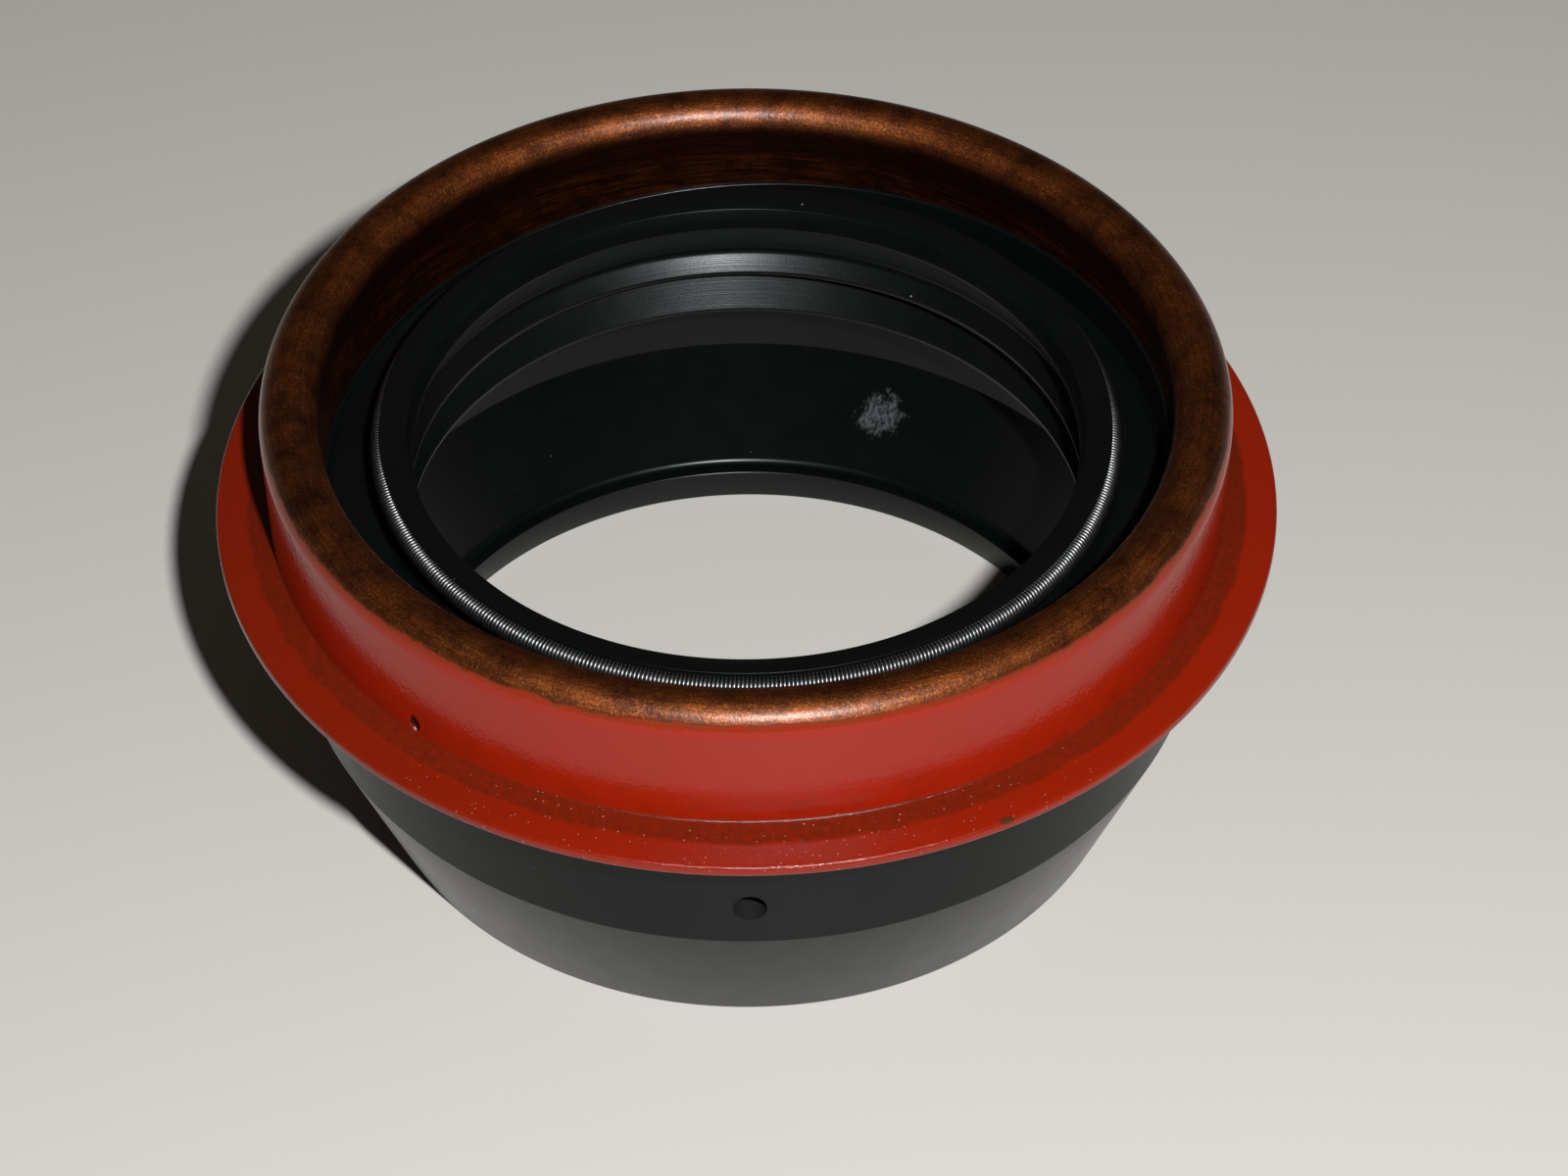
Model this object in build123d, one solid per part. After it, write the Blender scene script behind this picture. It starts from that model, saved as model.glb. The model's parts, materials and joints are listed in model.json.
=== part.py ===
from build123d import *
from math import cos, radians, sin, tan
import os

# Radial shaft seal for a slip shaft: a folded steel case with a flange, a rubber element with three lips,
# a garter spring and a dust boot. Millimetres. The shaft's axis is +Z, the boot stands on Z = 0, and the
# oil side is up.

# Shaft that the seal runs on, and the room between the shaft and the housing's bore
shaft_diameter = 47.65
housing_gap = 9.525

# Folded steel case: flange, outer wall, rolled rim, bore wall and web, all from one sheet
steel = 0.85
flange_width = 3.5              # outside the outer wall
flange_height = 23.2            # underside of the flange above the foot
case_depth = 10.85              # underside of the flange to the top of the rim
rim_width = 4.06                # across the fold, outside to outside
flange_bend = 1.3               # inside corner where the outer wall meets the flange
web_rise = 1.4                  # top of the web above the underside of the flange
web_bend = 0.9
web_hole_gap = 2.6              # edge of the web's hole outside the shaft
rim_flats = 8                   # the half turn of the rim is laid out in this many flats
fold_flats = 4                  # the hidden half turn inside the rim
bend_flats = 2                  # each quarter turn, at the flange and at the web

# Main lip, with its head above a thin conical neck
lip_squeeze = 0.82              # how far the free lip lies inside the shaft's surface
lip_rise = 3.6                  # middle of the sealing land above the web
lip_land = 0.3
lip_wall = 1.0                  # thickness of the neck
oil_angle = 15.0                # from the axis
air_angle = 28.0                # from the axis
nose_length = 1.5               # middle of the land to the inner edge of the nose
nose_slope = 0.48               # outer edge of the nose above its inner edge
nose_cover = 0.05               # nose outside the spring's ring
head_cover = 0.25               # foot of the head outside the spring's ring
head_drop = 1.15                # foot of the head below the spring's middle
head_undercut = 0.55            # height of the step from the neck out to the foot of the head
lip_root_chamfer = 0.9

# Garter spring in the groove of the head
spring_coil_diameter = 1.5
spring_offset = 2.15            # middle of the coil outside the free lip
spring_rise = 0.7               # middle of the coil above the middle of the land
groove_clearance = 0.02
coil_side_count = 8             # round the coil's section, and round the groove that holds it

# Two dust lips below the main lip
upper_dust_squeeze = 0.38
upper_dust_drop = 0.8           # top of the tip below the top of the web
upper_dust_angle = 40.0         # top of the lip, from the axis
upper_dust_underside = 12.0     # underside of the lip, from level
lower_dust_squeeze = 0.08
lower_dust_drop = 4.55
lower_dust_angle = 36.0
lower_dust_underside = 28.0
dust_tip = 0.3                  # blunt height of each tip

# Rubber bonded to the sheet
floor_cover = 0.8               # over the web
under_cover = 1.75              # below the web
floor_chamfer = 0.4             # between the floor and the coat on the bore wall
coat_low = 1.35                 # top of the coat above the web, on the -X side
coat_high = 4.3                 # on the +X side, the coat's top edge lying in one sloping plane
coat_thickness = 0.25

# Dust boot, its root held inside the fold of the case
boot_wall = 2.34
boot_tuck = 0.21                # boot's bore outside the case's bore wall
taper_height = 11.7             # where the straight part ends and the taper begins
foot_draw = 4.57                # how far the taper draws the foot in from the straight part
bead_width = 1.15               # how far the top of the bead at the foot stands in from the bore
bead_height = 2.75
bead_flare = 0.4                # how far the bead's bore widens down to the foot
bead_chamfer = 0.4
root_length = 4.8               # how far the root reaches up past the flange's underside
root_grip = 2.4                 # height of the root that fills the fold
drain_hole_diameter = 2.27
drain_hole_rise = 3.2           # above the start of the taper

# Radii and levels that several pieces share
shaft_radius = shaft_diameter / 2
case_radius = shaft_radius + housing_gap
bore_radius = case_radius - rim_width
flange_top = flange_height + steel
web_top = flange_height + web_rise
lip_radius = shaft_radius - lip_squeeze
lip_height = web_top + lip_rise
coil_radius = spring_coil_diameter / 2
spring_radius = lip_radius + spring_offset
spring_height = lip_height + spring_rise


def ring(outline):
    # Turns a closed section about the shaft's axis
    return revolve(Plane.XZ * make_face(outline), axis=Axis.Z)


def bent_line(centre, radius, start, turn, flats):
    # An arc laid out in flats, each end of a flat lying on the arc
    angles = [radians(start + turn * step / flats) for step in range(flats + 1)]
    return Polyline([(centre[0] + radius * cos(angle), centre[1] + radius * sin(angle)) for angle in angles])


def case_skin(depth, turn_flats):
    # One skin of the folded sheet, from the flange's edge to the web's hole, at a depth under its upper face
    rim_radius = rim_width / 2
    foot = (case_radius + flange_bend, flange_top + flange_bend)
    rim = (case_radius - rim_radius, flange_height + case_depth - rim_radius)
    bend = (bore_radius - web_bend, web_top + web_bend)
    return [
        Line((case_radius + flange_width, flange_top - depth), (foot[0], flange_top - depth)),
        bent_line(foot, flange_bend + depth, 270, -90, bend_flats),
        Line((case_radius - depth, foot[1]), (case_radius - depth, rim[1])),
        bent_line(rim, rim_radius - depth, 0, 180, turn_flats),
        Line((bore_radius + depth, rim[1]), (bore_radius + depth, bend[1])),
        bent_line(bend, web_bend + depth, 0, -90, bend_flats),
        Line((bend[0], web_top - depth), (shaft_radius + web_hole_gap, web_top - depth)),
    ]


def make_case():
    upper_skin = case_skin(0, rim_flats)
    lower_skin = case_skin(steel, fold_flats)
    flange_edge = Line(upper_skin[0] @ 0, lower_skin[0] @ 0)
    web_edge = Line(upper_skin[-1] @ 1, lower_skin[-1] @ 1)
    return ring([*upper_skin, *lower_skin, flange_edge, web_edge])


def coil_section(clearance):
    return Pos(spring_radius, spring_height) * RegularPolygon(coil_radius + clearance, coil_side_count)


def make_spring():
    return revolve(Plane.XZ * coil_section(0), axis=Axis.Z)


def make_lips(case):
    # Main lip: oil side, sealing land and air side
    land_top = lip_height + lip_land / 2
    land_bottom = lip_height - lip_land / 2
    nose_height = lip_height + nose_length
    nose_radius = lip_radius + (nose_height - land_top) * tan(radians(oil_angle))
    air_slope = tan(radians(air_angle))
    neck = lip_wall / cos(radians(air_angle))
    floor = web_top + floor_cover
    head_foot = spring_height - head_drop
    neck_top = head_foot - head_undercut

    def neck_radius(height):
        return lip_radius + (land_bottom - height) * air_slope + neck

    # Tips of the dust lips
    upper_radius = shaft_radius - upper_dust_squeeze
    upper_top = web_top - upper_dust_drop
    upper_bottom = upper_top - dust_tip
    upper_slope = tan(radians(upper_dust_angle))
    upper_under = tan(radians(upper_dust_underside))
    lower_radius = shaft_radius - lower_dust_squeeze
    lower_top = web_top - lower_dust_drop
    lower_bottom = lower_top - dust_tip
    lower_slope = tan(radians(lower_dust_angle))
    lower_under = tan(radians(lower_dust_underside))

    # Root between the main lip and the upper dust lip, where their two cones cross
    land_rise = land_bottom - upper_top
    root_rise = (lip_radius - upper_radius + land_rise * air_slope) / (air_slope + upper_slope)
    root_radius = upper_radius + root_rise * upper_slope

    # Root between the two dust lips
    dust_root_depth = (lower_radius - upper_radius + (upper_bottom - lower_top) * lower_slope) / (
        1 + upper_under * lower_slope
    )

    # Body round the web. The section runs on into the sheet, and the sheet is then taken out of it.
    under = web_top - steel - under_cover
    under_start = lower_radius + (under - lower_bottom) / lower_under
    under_end = bore_radius - web_bend
    mid_wall = bore_radius + steel / 2
    mid_web = web_top - steel / 2
    coat_radius = bore_radius - coat_thickness
    coat_foot = floor + floor_chamfer

    section = make_face(Polyline([
        (mid_wall, coat_foot),
        (coat_radius, coat_foot),
        (coat_radius - floor_chamfer, floor),
        (neck_radius(floor), floor),
        (neck_radius(neck_top), neck_top),
        (spring_radius + head_cover, head_foot),
        (spring_radius + head_cover, spring_height),
        (spring_radius + nose_cover, spring_height),
        (spring_radius + nose_cover, nose_height + nose_slope),
        (nose_radius, nose_height),
        (lip_radius, land_top),
        (lip_radius, land_bottom),
        (root_radius, upper_top + root_rise),
        (upper_radius, upper_top),
        (upper_radius, upper_bottom),
        (upper_radius + dust_root_depth, upper_bottom - dust_root_depth * upper_under),
        (lower_radius, lower_top),
        (lower_radius, lower_bottom),
        (under_start, under),
        (under_end, under),
        (under_end, mid_web),
        (mid_wall, web_top + web_bend),
    ], close=True).edges())
    root = section.vertices().sort_by_distance((root_radius, upper_top + root_rise, 0))[0]
    section = chamfer(root, lip_root_chamfer) - coil_section(groove_clearance)

    # Coat on the bore wall, its top edge sloping across the seal
    slope = (coat_high - coat_low) / (2 * bore_radius)
    top_plane = Plane(origin=(0, 0, web_top + (coat_low + coat_high) / 2), z_dir=(-slope, 0, 1))
    coat = ring(Polyline([
        (mid_wall, coat_foot),
        (coat_radius, coat_foot),
        (coat_radius, web_top + coat_high + steel),
        (mid_wall, web_top + coat_high + steel),
    ], close=True).edges())
    coat = split(coat, bisect_by=top_plane, keep=Keep.BOTTOM)
    return revolve(Plane.XZ * section, axis=Axis.Z) + coat - case


def make_boot(case):
    bore = bore_radius + boot_tuck
    outside = bore + boot_wall
    foot_radius = outside - foot_draw

    # The bore tapers with the outside, the wall as wide as in the straight part, and ends on the bead
    taper = foot_draw / taper_height
    bead_top_radius = foot_radius + bead_height * taper - boot_wall
    bead_radius = bead_top_radius - bead_width

    # The root runs on into the sheet on both sides of the fold, and the sheet is then taken out of it
    root_top = flange_height + root_length
    grip_bottom = root_top - root_grip
    root_radius = case_radius - steel / 2

    boot = ring(Polyline([
        (foot_radius, 0),
        (outside, taper_height),
        (outside, grip_bottom),
        (root_radius, grip_bottom),
        (root_radius, root_top),
        (bore, root_top),
        (bore, taper_height),
        (bead_top_radius + bead_chamfer * taper, bead_height + bead_chamfer),
        (bead_top_radius - bead_chamfer, bead_height),
        (bead_radius, bead_height),
        (bead_radius + bead_flare, 0),
    ], close=True).edges())

    # The drain hole is drilled from the axis out through the wall, toward -Y
    drain = Pos(0, taper_height + drain_hole_rise) * Circle(drain_hole_diameter / 2)
    return boot - case - extrude(Plane.XZ * drain, amount=case_radius)


outer_case = make_case()
garter_spring = make_spring()
seal_lip = make_lips(outer_case)
dust_boot = make_boot(outer_case)

os.makedirs("parts", exist_ok=True)
export_step(outer_case, "parts/outer_case.step")
export_step(garter_spring, "parts/garter_spring.step")
export_step(seal_lip, "parts/seal_lip.step")
export_step(dust_boot, "parts/dust_boot.step")
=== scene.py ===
import json
from math import cos, pi, radians, sin, tan

import bmesh
import bpy
from mathutils import Matrix, Quaternion, Vector


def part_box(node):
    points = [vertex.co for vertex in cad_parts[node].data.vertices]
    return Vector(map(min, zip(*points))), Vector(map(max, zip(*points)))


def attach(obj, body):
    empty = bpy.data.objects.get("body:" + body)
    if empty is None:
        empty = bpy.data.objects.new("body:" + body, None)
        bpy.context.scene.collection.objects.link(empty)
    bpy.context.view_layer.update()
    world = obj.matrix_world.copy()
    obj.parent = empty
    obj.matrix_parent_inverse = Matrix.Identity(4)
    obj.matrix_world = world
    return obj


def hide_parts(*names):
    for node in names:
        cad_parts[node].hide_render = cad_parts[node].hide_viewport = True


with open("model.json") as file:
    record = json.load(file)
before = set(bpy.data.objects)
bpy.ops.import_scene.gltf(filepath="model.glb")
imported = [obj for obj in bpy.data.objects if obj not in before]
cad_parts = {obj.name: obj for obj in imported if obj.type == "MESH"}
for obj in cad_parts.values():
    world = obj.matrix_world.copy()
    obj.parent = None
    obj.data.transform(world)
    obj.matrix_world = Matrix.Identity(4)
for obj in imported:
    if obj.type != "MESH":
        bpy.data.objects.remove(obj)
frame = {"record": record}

mm = 0.001
mergeDistance = 0.0005 * mm
smoothUpTo = 32  # degrees; edges that turn more stay sharp
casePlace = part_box("outer_case")
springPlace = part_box("garter_spring")
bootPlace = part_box("dust_boot")
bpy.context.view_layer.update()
mounts = {mount["name"]: mount for mount in frame["record"]["mounts"]}

wallRadius = mounts["housing_seat"]["dims"]["r_mm"] * mm
lipRadius = mounts["shaft_lip"]["dims"]["r_mm"] * mm
flangeRadius = casePlace[1].x
flangeUnder = casePlace[0].z
rimTop = casePlace[1].z
coilRadius = (springPlace[1].z - springPlace[0].z) / 2
coilHeight = (springPlace[1].z + springPlace[0].z) / 2
ringRadius = springPlace[1].x - coilRadius


# Turning


def roundCorner(bm, corner, radius, count):
    # A round of the given radius: the bevel's offset is the length of its tangent
    point = min(bm.verts, key=lambda vert: (vert.co - Vector((corner[0], 0, corner[1]))).length)
    sides = [(edge.other_vert(point).co - point.co).normalized() for edge in point.link_edges]
    tangent = radius / tan(sides[0].angle(sides[1]) / 2)
    bmesh.ops.bevel(bm, geom=[point], offset=tangent, offset_type="OFFSET", affect="VERTICES",
                    segments=count, profile=0.5, material=-1, clamp_overlap=False)


def turned(corners, steps):
    # Corners are radius, height, rounding and segments. The section is one face, rounded and spun.
    bm = bmesh.new()
    points = [bm.verts.new((radius, 0, height)) for radius, height, *rest in corners]
    bm.faces.new(points)
    for radius, height, *rest in corners:
        if rest:
            roundCorner(bm, (radius, height), *rest)
    section = bm.faces[:]
    outline = bm.edges[:] + bm.verts[:]
    bmesh.ops.delete(bm, geom=section, context="FACES_ONLY")
    bmesh.ops.spin(bm, geom=outline, cent=(0, 0, 0), axis=(0, 0, 1), angle=2 * pi, steps=steps,
                   use_merge=True)
    bmesh.ops.remove_doubles(bm, verts=bm.verts[:], dist=mergeDistance)
    bmesh.ops.recalc_face_normals(bm, faces=bm.faces[:])
    return bm


def finishedPiece(name, bm, sharpAngle=smoothUpTo):
    mesh = bpy.data.meshes.new(name)
    bm.to_mesh(mesh)
    bm.free()
    mesh.shade_smooth()
    mesh.set_sharp_from_angle(angle=radians(sharpAngle))
    piece = bpy.data.objects.new(name, mesh)
    bpy.context.collection.objects.link(piece)
    return piece


def fitted(piece, node, material):
    # Rides with the part, stands for its solid and takes its finish
    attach(piece, "root")
    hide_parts(node)
    piece.data.materials.clear()
    piece.data.materials.append(material)
    return piece


# Shader building


class Shading:
    # A small wrapper that adds nodes and joins them
    def __init__(self, name):
        self.material = bpy.data.materials.new(name)
        self.material.use_nodes = True
        self.tree = self.material.node_tree
        self.surface = self.tree.nodes["Principled BSDF"]

    def add(self, kind, inputs=None, **settings):
        node = self.tree.nodes.new(kind)
        for key, value in settings.items():
            setattr(node, key, value)
        for key, value in (inputs or {}).items():
            self.put(node.inputs[key], value)
        return node

    def put(self, socket, value):
        if isinstance(value, bpy.types.NodeSocket):
            self.tree.links.new(value, socket)
        else:
            socket.default_value = value

    def math(self, operation, *values, clamp=False):
        node = self.add("ShaderNodeMath", operation=operation, use_clamp=clamp)
        for socket, value in zip(node.inputs, values):
            self.put(socket, value)
        return node.outputs[0]

    def place(self):
        # Object coordinates in millimetres: x, y, z and the distance from the axis
        coords = self.add("ShaderNodeTexCoord").outputs["Object"]
        scaled = self.add("ShaderNodeVectorMath", {0: coords}, operation="SCALE")
        scaled.inputs["Scale"].default_value = 1 / mm
        parts = self.add("ShaderNodeSeparateXYZ", {0: scaled.outputs[0]}).outputs
        across = self.math("SQRT", self.math("ADD", self.math("MULTIPLY", parts[0], parts[0]),
                                             self.math("MULTIPLY", parts[1], parts[1])))
        return scaled.outputs[0], parts[0], parts[1], parts[2], across

    def vector(self, x, y, z):
        return self.add("ShaderNodeCombineXYZ", {0: x, 1: y, 2: z}).outputs[0]

    def noise(self, vector, scale, detail=2.0, roughness=0.5):
        return self.add("ShaderNodeTexNoise", {"Vector": vector, "Scale": scale, "Detail": detail,
                                               "Roughness": roughness}).outputs["Fac"]

    def band(self, value, low, high, soft):
        # 1 between low and high, fading over soft at both ends
        up = self.step(value, low, soft)
        down = self.step(value, high, soft)
        return self.math("SUBTRACT", up, down, clamp=True)

    def step(self, value, edge, soft):
        node = self.add("ShaderNodeMapRange", {"Value": value, "From Min": edge - soft / 2,
                                               "From Max": edge + soft / 2}, interpolation_type="SMOOTHSTEP")
        return node.outputs[0]

    def spread(self, value, low, high):
        # stretches the values between low and high to the full range
        return self.add("ShaderNodeMapRange", {"Value": value, "From Min": low, "From Max": high}).outputs[0]

    def mix(self, factor, first, second):
        node = self.add("ShaderNodeMix", data_type="RGBA")
        self.put(node.inputs["Factor"], factor)
        for socket, value in ((node.inputs["A"], first), (node.inputs["B"], second)):
            self.put(socket, (*value, 1) if isinstance(value, tuple) else value)
        return node.outputs["Result"]

    def blend(self, factor, first, second):
        node = self.add("ShaderNodeMix", data_type="FLOAT")
        self.put(node.inputs["Factor"], factor)
        self.put(node.inputs["A"], first)
        self.put(node.inputs["B"], second)
        return node.outputs["Result"]

    def specks(self, vector, scale, size, share):
        # round grains of a size in millimetres, one in some of the cells
        cells = self.add("ShaderNodeTexVoronoi", {"Vector": vector, "Scale": scale}).outputs
        near = self.step(cells["Distance"], size * scale, 0.4 * size * scale)
        draw = self.add("ShaderNodeSeparateXYZ", {0: cells["Color"]}).outputs[0]
        return self.math("MULTIPLY", self.math("SUBTRACT", 1.0, near), self.math("LESS_THAN", draw, share))

    def spot(self, vector, centre, sizes):
        # 1 at the centre, falling to 0 at the sizes
        away = self.add("ShaderNodeVectorMath", {0: vector, 1: centre}, operation="SUBTRACT").outputs[0]
        scaled = self.add("ShaderNodeVectorMath", {0: away, 1: sizes}, operation="DIVIDE").outputs[0]
        length = self.add("ShaderNodeVectorMath", {0: scaled}, operation="LENGTH").outputs["Value"]
        return self.math("SUBTRACT", 1.0, length, clamp=True)

    def bump(self, height, distance, strength=1.0, under=None):
        inputs = {"Height": height, "Distance": distance, "Strength": strength}
        if under is not None:
            inputs["Normal"] = under
        return self.add("ShaderNodeBump", inputs).outputs[0]

    def set(self, **sockets):
        for key, value in sockets.items():
            socket = self.surface.inputs[key.replace("_", " ")]
            self.put(socket, (*value, 1) if isinstance(value, tuple) else value)


# Case


case = dict(
    sheet=0.85 * mm,
    rimWidth=4.06 * mm,
    flangeBend=1.3 * mm,
    footRise=0.53 * mm,
    footWidth=1.4 * mm,
    footLean=0.2 * mm,
    footRound=1.2 * mm,
    footEdge=0.16 * mm,
    webBend=0.9 * mm,
    webRise=1.4 * mm,
    webHole=26.425 * mm,
    edgeRound=0.25 * mm,
    almostFull=0.9999,  # leaves a hair between the two quarter rounds of the rim
    steps=360,
    paintTopShare=0.45,  # of the rim's radius above its middle
    boreTopShare=0.3,
    lowBoreRise=5.55,  # brighter lacquer up to here, in mm above the web
    thinReach=1.45,  # thin paint out to here, in mm outside the wall
    paint=(0.282, 0.0120, 0.0022),
    thinPaint=(0.115, 0.0098, 0.0022),
    # colour of a painted reflection of the pale floor, under the lacquer's edge
    sheenPaint=(0.19, 0.030, 0.012),
    gold=(0.52, 0.24, 0.065),
    copper=(0.30, 0.070, 0.0090),
    darkCopper=(0.034, 0.0052, 0.0007),
    brown=(0.024, 0.0040, 0.0006),
    streakBrown=(0.11, 0.025, 0.0015),
    # colour of painted glints, on the grains and at the pit's lower end
    glintColour=(0.55, 0.30, 0.22),
    grainRadius=0.055,
    grainShare=0.6,
    pit=(-22.09, -24.99, 25.47),  # places on the finish are in millimetres
    # where the pit's painted glint sits; next, the colour of the pit's painted shade
    pitGlint=(-21.97, -24.99, 25.05),
    pitShade=(0.035, 0.008, 0.010),
    chip=(16.84, -32.83, 24.05),
    nick=(-11.08, -35.15, 23.15),
    chipColour=(0.075, 0.018, 0.006),
)

flangeTop = flangeUnder + case["sheet"]
boreRadius = wallRadius - case["rimWidth"]
webTop = flangeUnder + case["webRise"]
rimRadius = case["rimWidth"] / 2
rimMiddle = (wallRadius - rimRadius, rimTop - rimRadius)


def makeCase():
    sheet = case["sheet"]
    almost = case["almostFull"]
    corners = [
        (flangeRadius, flangeTop, case["edgeRound"], 4),
        (wallRadius + case["footWidth"], flangeTop, case["footRound"], 5),
        (wallRadius - case["footLean"], flangeTop + case["footRise"], case["footEdge"], 5),
        (wallRadius, rimTop, rimRadius * almost, 20),
        (boreRadius, rimTop, rimRadius * almost, 20),
        (boreRadius, webTop, case["webBend"], 6),
        (case["webHole"], webTop),
        (case["webHole"], webTop - sheet),
        (boreRadius + sheet, webTop - sheet, case["webBend"] + sheet, 8),
        (boreRadius + sheet, rimTop - sheet, (rimRadius - sheet) * almost, 8),
        (wallRadius - sheet, rimTop - sheet, (rimRadius - sheet) * almost, 8),
        (wallRadius - sheet, flangeUnder, case["flangeBend"] + sheet, 10),
        (flangeRadius, flangeUnder, case["edgeRound"], 4),
    ]
    return finishedPiece("outer_case_sheet", turned(corners, case["steps"]))


def casePaint():
    s = Shading("red_paint_and_copper_lacquer")
    point, x, y, z, across = s.place()
    # where the lacquer takes over from the paint, on the outside of the rim
    wander = s.math("MULTIPLY", s.math("SUBTRACT", s.noise(point, 0.5, 4, 0.6), 0.5), 0.7)
    height = s.math("ADD", z, wander)
    height = s.math("ADD", height, s.math("MULTIPLY", y, 0.006))
    paintTop = (rimMiddle[1] + case["paintTopShare"] * rimRadius) / mm
    overRim = s.step(height, paintTop, 0.3)
    inside = s.math("SUBTRACT", 1.0, s.step(across, rimMiddle[0] / mm, 0.2))
    lacquer = s.math("MAXIMUM", overRim, inside)
    # flakes, cloudy patches and marks along the turn
    flakes = s.spread(s.noise(point, 4.6, 3, 0.8), 0.38, 0.64)
    clouds = s.spread(s.noise(point, 0.45, 4, 0.65), 0.34, 0.62)
    along = s.math("ARCTAN2", y, x)
    turnMarks = s.noise(s.vector(s.math("MULTIPLY", along, 9.0), s.math("MULTIPLY", across, 5.0),
                                 s.math("MULTIPLY", z, 5.0)), 1.0, 3, 0.6)
    marks = s.spread(turnMarks, 0.40, 0.60)
    worn = s.math("MULTIPLY", s.blend(0.55, flakes, clouds), s.blend(0.5, 1.0, marks))
    bright = s.math("MULTIPLY", s.step(s.noise(point, 6.0, 3, 0.8), 0.6, 0.16), s.blend(clouds, 0.1, 0.6))
    copper = s.mix(bright, s.mix(worn, case["darkCopper"], case["copper"]), case["gold"])
    lowBore = s.math("SUBTRACT", 1.0, s.step(z, webTop / mm + case["lowBoreRise"], 0.5))
    bore = s.mix(s.math("MULTIPLY", s.math("MULTIPLY", marks, clouds), s.blend(lowBore, 0.25, 1.0)),
                 case["brown"], case["streakBrown"])
    boreTop = s.step(z, (rimMiddle[1] + case["boreTopShare"] * rimRadius) / mm, 1.6)
    deep = s.math("MULTIPLY", inside, s.math("SUBTRACT", 1.0, boreTop))
    lacquerColour = s.mix(deep, copper, bore)
    # the paint is thin and brown at the foot of the wall, with raised grains standing in it; their pale
    # colour is a painted glint
    low = s.math("SUBTRACT", 1.0, s.step(z, (flangeTop + case["footRise"]) / mm + 0.1, 0.14))
    reach = s.step(s.math("ADD", across, wander), wallRadius / mm + case["thinReach"], 0.7)
    thin = s.math("MULTIPLY", low, s.math("SUBTRACT", 1.0, reach))
    patches = s.blend(0.7, s.spread(s.noise(point, 2.2, 4, 0.7), 0.3, 0.6), 1.0)
    # darker blotches, most of them on the flange and the lower part of the wall
    mottle = s.spread(s.noise(point, 0.32, 4, 0.6), 0.50, 0.72)
    lower = s.math("SUBTRACT", 1.0, s.step(z, flangeTop / mm + 3.0, 3.0))
    blotches = s.math("MULTIPLY", s.math("MULTIPLY", mottle, lower), 0.35)
    # the flange's flat top is darker as well, more so on the -X side
    flat = s.math("MULTIPLY", s.math("SUBTRACT", 1.0, s.step(z, flangeTop / mm + 0.12, 0.2)),
                  s.blend(s.step(x, -16.0, 16.0), 0.6, 0.3))
    covered = s.math("MAXIMUM", s.math("MAXIMUM", s.math("MULTIPLY", thin, patches), blotches), flat)
    paint = s.mix(covered, case["paint"], case["thinPaint"])
    # a paler strip just under the lacquer's edge is a painted reflection of the pale floor on the wall
    paintedSheen = s.math("MULTIPLY", s.step(height, paintTop - 0.4, 0.6), s.blend(clouds, 1.0, 0.7))
    paint = s.mix(paintedSheen, paint, case["sheenPaint"])
    # the grains are drawn only on the front, where their painted glints face the lamp
    glintSide = s.math("SUBTRACT", 1.0, s.step(y, -29.0, 9.0))
    grains = s.math("MULTIPLY", s.specks(point, 2.3, case["grainRadius"], case["grainShare"]),
                    s.math("MULTIPLY", low, glintSide))
    paint = s.mix(s.math("MULTIPLY", grains, 0.6), paint, case["glintColour"])
    chips = s.math("MAXIMUM", s.spot(point, case["chip"], (0.9, 0.6, 0.4)),
                   s.spot(point, case["nick"], (0.5, 0.5, 0.4)))
    paint = s.mix(s.step(chips, 0.3, 0.3), paint, case["chipColour"])
    # the pit is a dimple painted dark as shade in its hollow, with a painted glint at its lower end
    pit = s.math("MULTIPLY", s.math("SUBTRACT", 1.0, lacquer), s.spot(point, case["pit"], (0.55, 0.55, 0.8)))
    paint = s.mix(s.step(pit, 0.2, 0.25), paint, case["pitShade"])
    paint = s.mix(s.step(s.spot(point, case["pitGlint"], (0.2, 0.4, 0.26)), 0.3, 0.3), paint, case["glintColour"])
    s.set(Base_Color=s.mix(lacquer, paint, lacquerColour))
    s.set(Metallic=lacquer, Specular_IOR_Level=0.32)
    s.set(Roughness=s.blend(lacquer, 0.13, s.blend(flakes, 0.60, 0.50)))
    s.set(Coat_Weight=s.math("MULTIPLY", lacquer, 0.6), Coat_Roughness=0.34)
    waves = s.bump(s.noise(point, 0.9, 2, 0.5), 0.04 * mm, 0.4)
    peel = s.bump(s.noise(point, 2.7, 2, 0.5), 0.017 * mm, 1.0, waves)
    fine = s.bump(s.noise(point, 6.5, 2, 0.6), 0.010 * mm, 1.0, peel)
    raised = s.bump(grains, 0.05 * mm, 1.0, fine)
    gritty = s.bump(s.math("MULTIPLY", s.noise(point, 3.0, 4, 0.75), low), 0.05 * mm, 1.0, raised)
    pitted = s.bump(s.math("MULTIPLY", pit, -1.0), 0.5 * mm, 1.0, gritty)
    flaked = s.bump(s.math("MULTIPLY", flakes, lacquer), 0.010 * mm, 1.0, pitted)
    s.set(Coat_Normal=pitted, Normal=flaked)
    return s.material


# Rubber lips


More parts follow.
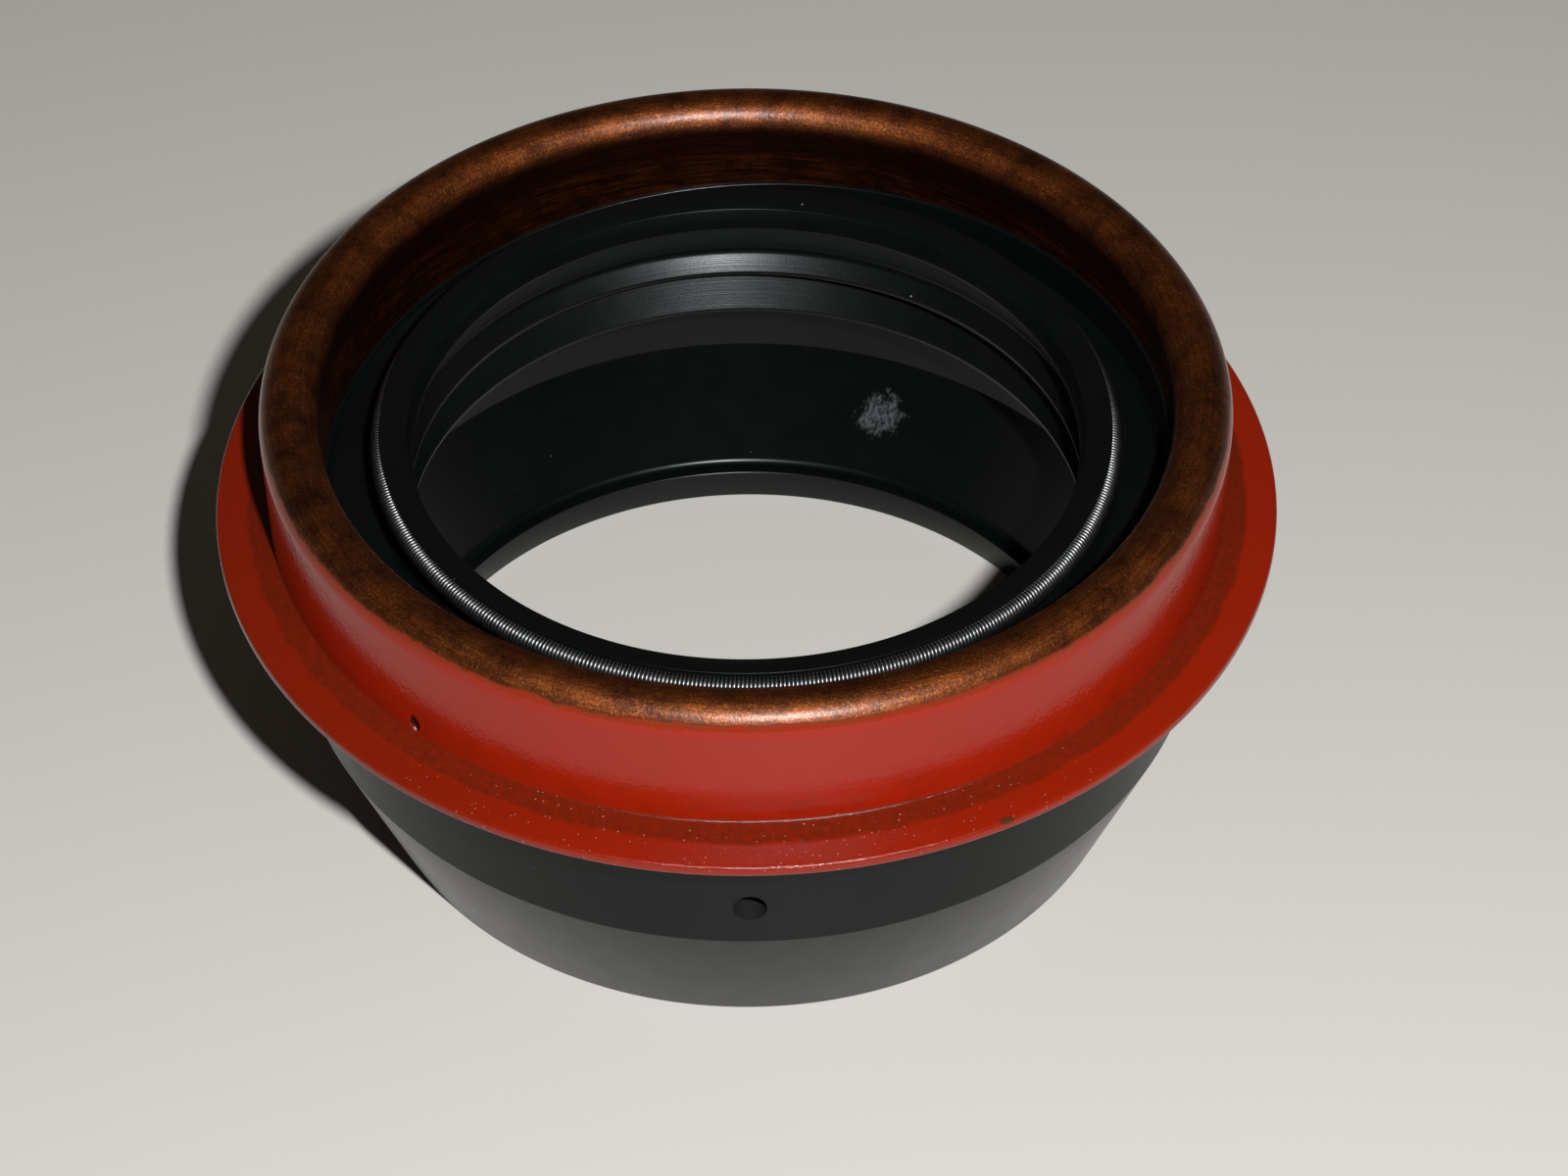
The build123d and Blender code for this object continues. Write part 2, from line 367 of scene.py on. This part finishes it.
lips = dict(
    nose=29.7 * mm,
    noseSlope=0.48 * mm,
    noseCover=0.05 * mm,
    headCover=0.25 * mm,
    headDrop=1.15 * mm,
    headUndercut=0.55 * mm,
    land=0.3 * mm,
    wall=1.0 * mm,
    airAngle=28.0,
    oilAngle=15.0,
    rootRound=0.8 * mm,
    upperTip=(23.445 * mm, 23.8 * mm),
    upperAngle=39.0,
    lowerTip=(23.745 * mm, 20.05 * mm),
    lowerAngle=36.0,
    upperUnder=12.0,
    lowerUnder=28.0,
    tip=0.3 * mm,
    floorCover=0.8 * mm,
    underCover=1.75 * mm,
    floorChamfer=0.4 * mm,
    coatLow=1.35 * mm,
    coatHigh=4.3 * mm,
    coat=0.25 * mm,
    grooveClearance=0.02 * mm,
    floorRound=0.5 * mm,
    neckRound=0.2 * mm,
    dustRootRound=0.5 * mm,
    underRound=0.4 * mm,
    cornerRound=0.12 * mm,
    edgeRound=0.04 * mm,
    steps=360,
    darkRubber=(0.0016, 0.0020, 0.0020),
    paleRubber=(0.0030, 0.0036, 0.0036),
    # painted shade colour for the air side of the main lip
    airShade=(0.0015, 0.002, 0.002),
    airHeights=(25.4, 28.1),  # dull part of the main lip, in millimetres
    airReach=24.45,
    grit=(0.35, 0.34, 0.32),
)


def makeLips():
    landMiddle = mounts["shaft_lip"]["pos_m"][2]
    landTop = landMiddle + lips["land"] / 2
    landBottom = landMiddle - lips["land"] / 2
    airSlope = tan(radians(lips["airAngle"]))
    neck = lips["wall"] / cos(radians(lips["airAngle"]))
    floor = webTop + lips["floorCover"]
    headFoot = coilHeight - lips["headDrop"]
    neckTop = headFoot - lips["headUndercut"]
    groove = coilRadius + lips["grooveClearance"]
    noseOutside = ringRadius + lips["noseCover"]
    headOutside = ringRadius + lips["headCover"]
    coatRadius = boreRadius - lips["coat"]
    coatMiddle = webTop + (lips["coatLow"] + lips["coatHigh"]) / 2

    def neckRadius(height):
        return lipRadius + (landBottom - height) * airSlope + neck

    upper, lower = lips["upperTip"], lips["lowerTip"]
    upperSlope, lowerSlope = tan(radians(lips["upperAngle"])), tan(radians(lips["lowerAngle"]))
    upperUnder, lowerUnder = tan(radians(lips["upperUnder"])), tan(radians(lips["lowerUnder"]))
    rootRise = (lipRadius - upper[0] + (landBottom - upper[1]) * airSlope) / (airSlope + upperSlope)
    root = (upper[0] + rootRise * upperSlope, upper[1] + rootRise)
    upperBottom = upper[1] - lips["tip"]
    dustDepth = (lower[0] - upper[0] + (upperBottom - lower[1]) * lowerSlope) / (1 + upperUnder * lowerSlope)
    dustRoot = (upper[0] + dustDepth, upperBottom - dustDepth * upperUnder)
    lowerBottom = lower[1] - lips["tip"]
    under = webTop - case["sheet"] - lips["underCover"]
    underStart = lower[0] + (under - lowerBottom) / lowerUnder
    underEnd = boreRadius - case["webBend"]
    small, tiny = lips["cornerRound"], lips["edgeRound"]
    corners = [
        (boreRadius, coatMiddle),
        (coatRadius, coatMiddle, small, 3),
        (coatRadius, floor + lips["floorChamfer"]),
        (coatRadius - lips["floorChamfer"], floor),
        (neckRadius(floor), floor, lips["floorRound"], 5),
        (neckRadius(neckTop), neckTop, lips["neckRound"], 3),
        (headOutside, headFoot, small, 3),
        (headOutside, coilHeight - groove, tiny, 2),
        (ringRadius - groove, coilHeight - groove, groove * 0.99, 8),
        (ringRadius - groove, coilHeight + groove, groove * 0.99, 8),
        (noseOutside, coilHeight + groove, tiny, 2),
        (noseOutside, lips["nose"] + lips["noseSlope"], tiny, 3),
        (lipRadius + (lips["nose"] - landTop) * tan(radians(lips["oilAngle"])), lips["nose"], tiny, 3),
        (lipRadius, landTop),
        (lipRadius, landBottom),
        (root[0], root[1], lips["rootRound"], 12),
        (upper[0], upper[1], tiny, 3),
        (upper[0], upperBottom, tiny, 3),
        (dustRoot[0], dustRoot[1], lips["dustRootRound"], 6),
        (lower[0], lower[1], tiny, 3),
        (lower[0], lowerBottom, tiny, 3),
        (underStart, under, lips["underRound"], 4),
        (underEnd, under, lips["underRound"], 4),
        (underEnd, webTop - case["sheet"]),
        (case["webHole"], webTop - case["sheet"]),
        (case["webHole"], webTop),
        (boreRadius, webTop, case["webBend"], 6),
    ]
    bm = turned(corners, lips["steps"])
    # the coat's top edge slopes up toward +X
    slope = (lips["coatHigh"] - lips["coatLow"]) / (2 * boreRadius)
    shear = Matrix(((1, 0, 0, 0), (0, 1, 0, 0), (slope, 0, 1, 0), (0, 0, 0, 1)))
    edge = [vert for vert in bm.verts if Vector(vert.co.xy).length > coatRadius - small / 2
            and vert.co.z > coatMiddle - 2 * small]
    bmesh.ops.transform(bm, matrix=shear, verts=edge)
    return finishedPiece("seal_lip_rubber", bm)


def lipRubber():
    s = Shading("satin_lip_rubber")
    point, x, y, z, across = s.place()
    cloud = s.noise(point, 0.25, 4, 0.6)
    plain = s.mix(cloud, lips["darkRubber"], lips["paleRubber"])
    # the air side of the main lip is dull, and its colour is darkened there as painted shade
    dullShadedAir = s.math("MULTIPLY", s.band(z, *lips["airHeights"], 0.1),
                 s.math("SUBTRACT", 1.0, s.step(across, lips["airReach"], 0.2)))
    grains = s.math("MULTIPLY", s.specks(point, 0.5, 0.07, 0.3), 0.6)
    s.set(Base_Color=s.mix(grains, s.mix(dullShadedAir, plain, lips["airShade"]), lips["grit"]))
    s.set(Roughness=s.blend(dullShadedAir, s.blend(s.noise(point, 0.6, 3), 0.29, 0.37), 0.75), Specular_IOR_Level=0.34,
          Specular_Tint=(0.90, 0.97, 1.0))
    rings = s.noise(s.vector(s.math("MULTIPLY", across, 9.0), 0.0, s.math("MULTIPLY", z, 9.0)), 1.0, 2, 0.6)
    grooves = s.bump(rings, 0.03 * mm, 0.3)
    s.set(Normal=s.bump(s.noise(point, 4.0, 3, 0.6), 0.01 * mm, 0.6, grooves))
    return s.material


# Garter spring


spring = dict(
    wire=0.275 * mm,
    turns=582,
    pointsPerTurn=12,
    colour=(0.205, 0.21, 0.215),
    stainShade=0.75,
)


def makeSpring():
    # A close coil of wire wound round the ring's middle line, its two ends meeting
    path = bpy.data.curves.new("garter_spring_path", "CURVE")
    path.dimensions = "3D"
    path.bevel_depth = spring["wire"] / 2
    path.bevel_resolution = 1
    count = spring["turns"] * spring["pointsPerTurn"]
    line = path.splines.new("POLY")
    line.points.add(count - 1)
    radius = coilRadius - spring["wire"] / 2
    for index, point in enumerate(line.points):
        way = 2 * pi * index / count
        turn = 2 * pi * index / spring["pointsPerTurn"]
        out = ringRadius + radius * cos(turn)
        point.co = (out * cos(way), out * sin(way), coilHeight + radius * sin(turn), 1)
    line.use_cyclic_u = True
    holder = bpy.data.objects.new("garter_spring_path", path)
    mesh = bpy.data.meshes.new_from_object(holder)
    bpy.data.objects.remove(holder)
    mesh.name = "garter_spring_coil"
    mesh.shade_smooth()
    piece = bpy.data.objects.new("garter_spring_coil", mesh)
    bpy.context.collection.objects.link(piece)
    return piece


def springSteel():
    s = Shading("drawn_spring_wire")
    point, x, y, z, across = s.place()
    blotches = s.noise(point, 0.35, 3)
    stained = tuple(channel * spring["stainShade"] for channel in spring["colour"])
    s.set(Base_Color=s.mix(blotches, stained, spring["colour"]))
    s.set(Metallic=1.0, Roughness=s.blend(s.noise(point, 1.4, 3), 0.30, 0.44))
    return s.material


# Dust boot


boot = dict(
    wall=2.34 * mm,
    tuck=0.21 * mm,
    taperHeight=11.7 * mm,
    footDraw=4.57 * mm,
    beadWidth=1.15 * mm,
    beadHeight=2.75 * mm,
    beadFlare=0.4 * mm,
    beadRound=0.6 * mm,
    beadEdge=0.08 * mm,
    footRound=0.25 * mm,
    gripLength=2.4 * mm,
    drainRadius=1.135 * mm,
    drainHeight=14.9 * mm,
    bendRound=0.3 * mm,
    darkRubber=(0.0016, 0.0021, 0.0020),
    paleRubber=(0.0030, 0.0036, 0.0035),
    scuffColour=(0.075, 0.083, 0.087),
    scuffAzimuth=68.6,
    scuffHeight=7.5,  # in millimetres, as are the next two
    scuffRadius=27.9,
    insideReach=29.3,
    drilledColour=(0.0125, 0.0125, 0.012),
    steps=360,
)


def makeBoot():
    bore = boreRadius + boot["tuck"]
    outside = bore + boot["wall"]
    foot = outside - boot["footDraw"]
    taper = boot["footDraw"] / boot["taperHeight"]
    beadTop = foot + boot["beadHeight"] * taper - boot["wall"]
    bead = beadTop - boot["beadWidth"]
    rootTop = bootPlace[1].z
    foldOutside = wallRadius - case["sheet"]
    foldInside = boreRadius + case["sheet"]
    # the sheet's bend, which the top of the bore lies against
    bend = case["webBend"] + case["sheet"]
    middle = (boreRadius - case["webBend"], webTop + case["webBend"])
    reach = bore - middle[0]
    drop = (bend**2 - reach**2) ** 0.5
    touch = middle[1] - drop
    corner = touch + (foldInside - bore) * reach / drop
    corners = [
        (foot, 0, boot["footRound"], 4),
        (outside, boot["taperHeight"], boot["bendRound"], 4),
        (outside, rootTop - boot["gripLength"]),
        (foldOutside, rootTop - boot["gripLength"]),
        (foldOutside, rootTop),
        (foldInside, rootTop),
        (foldInside, corner, bend * 0.99, 5),
        (bore, touch),
        (bore, boot["taperHeight"], boot["bendRound"], 3),
        (beadTop, boot["beadHeight"], boot["beadRound"], 8),
        (bead, boot["beadHeight"], boot["beadEdge"], 3),
        (bead + boot["beadFlare"], 0, boot["footRound"], 4),
    ]
    sleeve = finishedPiece("dust_boot_rubber", turned(corners, boot["steps"]))
    return drilled(sleeve, outside)


def drilled(sleeve, outside):
    # The drain hole, cut from the outside toward the axis on the -Y side
    bm = bmesh.new()
    bmesh.ops.create_cone(bm, cap_ends=True, segments=40, radius1=boot["drainRadius"],
                          radius2=boot["drainRadius"], depth=4 * boot["wall"])
    bmesh.ops.rotate(bm, verts=bm.verts[:], cent=(0, 0, 0), matrix=Matrix.Rotation(pi / 2, 3, "X"))
    bmesh.ops.translate(bm, verts=bm.verts[:], vec=(0, -outside, boot["drainHeight"]))
    cutter = finishedPiece("drain_cutter", bm, 40)
    cut = sleeve.modifiers.new("drain", "BOOLEAN")
    cut.object = cutter
    cut.operation = "DIFFERENCE"
    cut.solver = "EXACT"
    ready = sleeve.evaluated_get(bpy.context.evaluated_depsgraph_get())
    mesh = bpy.data.meshes.new_from_object(ready)
    merged = bmesh.new()  # the cut leaves slivers where it meets an edge of the sleeve
    merged.from_mesh(mesh)
    bmesh.ops.remove_doubles(merged, verts=merged.verts[:], dist=mergeDistance)
    merged.to_mesh(mesh)
    merged.free()
    sleeve.modifiers.clear()
    sleeve.data = mesh
    mesh.shade_smooth()
    mesh.set_sharp_from_angle(angle=radians(smoothUpTo))
    bpy.data.objects.remove(cutter)
    return sleeve


def bootRubber():
    s = Shading("glossy_boot_rubber")
    point, x, y, z, across = s.place()
    cloud = s.noise(point, 0.12, 4, 0.6)
    plain = s.mix(cloud, boot["darkRubber"], boot["paleRubber"])
    # a pale scuff on the inside, ragged at its edge and made of slanting scratches
    past = s.math("SUBTRACT", s.math("ARCTAN2", y, x), radians(boot["scuffAzimuth"]))
    along = s.math("MULTIPLY", past, boot["scuffRadius"])
    up = s.math("SUBTRACT", z, boot["scuffHeight"])
    leaning = s.math("ADD", along, s.math("MULTIPLY", up, 0.25))
    patch = s.spot(s.vector(leaning, up, 0.0), (0, 0, 0), (2.5, 2.7, 1.0))
    uneven = s.math("MULTIPLY", s.math("SUBTRACT", s.noise(point, 1.1, 4, 0.7), 0.5), 1.3)
    ragged = s.math("ADD", patch, uneven)
    inner = s.math("SUBTRACT", 1.0, s.step(across, boot["insideReach"], 0.2))
    slant = s.vector(s.math("MULTIPLY", s.math("ADD", along, s.math("MULTIPLY", up, 0.4)), 1.8),
                     s.math("SUBTRACT", up, along), 0.0)
    scratches = s.spread(s.noise(slant, 1.6, 4, 0.7), 0.38, 0.62)
    scuff = s.math("MULTIPLY", s.math("MULTIPLY", s.step(ragged, 0.42, 0.3), inner), scratches)
    grains = s.math("MULTIPLY", s.specks(point, 0.4, 0.07, 0.25), 0.5)
    # the drain hole's wall is paler and rougher
    above = s.math("SUBTRACT", z, boot["drainHeight"] / mm)
    fromDrain = s.math("SQRT", s.math("ADD", s.math("MULTIPLY", x, x), s.math("MULTIPLY", above, above)))
    nearDrain = s.math("LESS_THAN", fromDrain, boot["drainRadius"] / mm + 0.02)
    hole = s.math("MULTIPLY", nearDrain, s.math("LESS_THAN", y, 0.0))
    plain = s.mix(hole, plain, boot["drilledColour"])
    s.set(Base_Color=s.mix(s.math("MAXIMUM", scuff, grains), plain, boot["scuffColour"]))
    gloss = s.blend(scuff, s.blend(s.noise(point, 0.5, 3), 0.24, 0.34), 0.6)
    s.set(Roughness=s.blend(hole, gloss, 0.7), Specular_IOR_Level=0.22, Specular_Tint=(0.92, 0.98, 1.0))
    s.set(Normal=s.bump(s.noise(point, 1.5, 3, 0.6), 0.006 * mm, 0.5))
    return s.material


# Stage, lamps and camera


stage = dict(
    floorColour=(0.64, 0.625, 0.585),
    floorSize=2.4,
    floorRoughness=0.55,
    worldLevel=0.03,
    worldColour=(1.0, 0.90, 0.75),
    keyPower=1.75,
    keySize=0.014,
    keyDistance=0.365,
    keyAzimuth=9.0,
    keyElevation=46.0,
    keyTarget=(0, 0, 0.02),
)

view = dict(
    distance=0.35798,
    elevation=44.955,
    pan=0.4256,
    tilt=1.6332,
    roll=-0.0644,
    lens=112.5,
)


def makeFloor():
    bm = bmesh.new()
    bmesh.ops.create_grid(bm, x_segments=1, y_segments=1, size=stage["floorSize"] / 2)
    floor = finishedPiece("floor", bm, 30)
    s = Shading("pale_tabletop")
    point, x, y, z, across = s.place()
    s.set(Base_Color=stage["floorColour"], Roughness=stage["floorRoughness"])
    s.set(Normal=s.bump(s.noise(point, 0.9, 4, 0.6), 0.02 * mm, 0.4))
    floor.data.materials.append(s.material)
    return floor


def makeWorld():
    world = bpy.data.worlds.new("dim_room")
    bpy.context.scene.world = world
    world.use_nodes = True
    sky = world.node_tree.nodes["Background"]
    sky.inputs["Color"].default_value = (*stage["worldColour"], 1)
    sky.inputs["Strength"].default_value = stage["worldLevel"]


def addLamp(name, azimuth, elevation, distance, size, power, target):
    lamp = bpy.data.lights.new(name, "AREA")
    lamp.shape = "DISK"
    lamp.size = size
    lamp.energy = power
    holder = bpy.data.objects.new(name, lamp)
    bpy.context.collection.objects.link(holder)
    a, e = radians(azimuth), radians(elevation)
    away = Vector((sin(a) * cos(e), -cos(a) * cos(e), sin(e)))
    holder.location = Vector(target) + away * distance
    holder.rotation_mode = "QUATERNION"
    holder.rotation_quaternion = (-away).to_track_quat("-Z", "Y")
    return holder


def makeCamera():
    data = bpy.data.cameras.new("photo_camera")
    data.lens = view["lens"]
    data.clip_start = 0.01
    data.clip_end = 20
    camera = bpy.data.objects.new("photo_camera", data)
    bpy.context.collection.objects.link(camera)
    e, pan, tilt = radians(view["elevation"]), radians(view["pan"]), radians(view["tilt"])
    camera.location = Vector((0, -cos(e), sin(e))) * view["distance"]
    ahead, right = Vector((0, cos(e), -sin(e))), Vector((1, 0, 0))
    up = right.cross(ahead)
    aim = ahead * cos(pan) * cos(tilt) + right * sin(pan) * cos(tilt) + up * sin(tilt)
    camera.rotation_mode = "QUATERNION"
    camera.rotation_quaternion = aim.to_track_quat("-Z", "Y") @ Quaternion((0, 0, 1), radians(view["roll"]))
    bpy.context.scene.camera = camera
    return camera


makeCamera()
makeFloor()
makeWorld()
addLamp("key_lamp", stage["keyAzimuth"], stage["keyElevation"], stage["keyDistance"], stage["keySize"],
        stage["keyPower"], stage["keyTarget"])
print("stage, lamps and camera placed")

fitted(makeCase(), "outer_case", casePaint())
print("case turned")
fitted(makeLips(), "seal_lip", lipRubber())
print("lips turned")
fitted(makeSpring(), "garter_spring", springSteel())
print("spring wound")
fitted(makeBoot(), "dust_boot", bootRubber())
print("boot turned and drilled")

bpy.context.scene.view_settings.view_transform = "Standard"
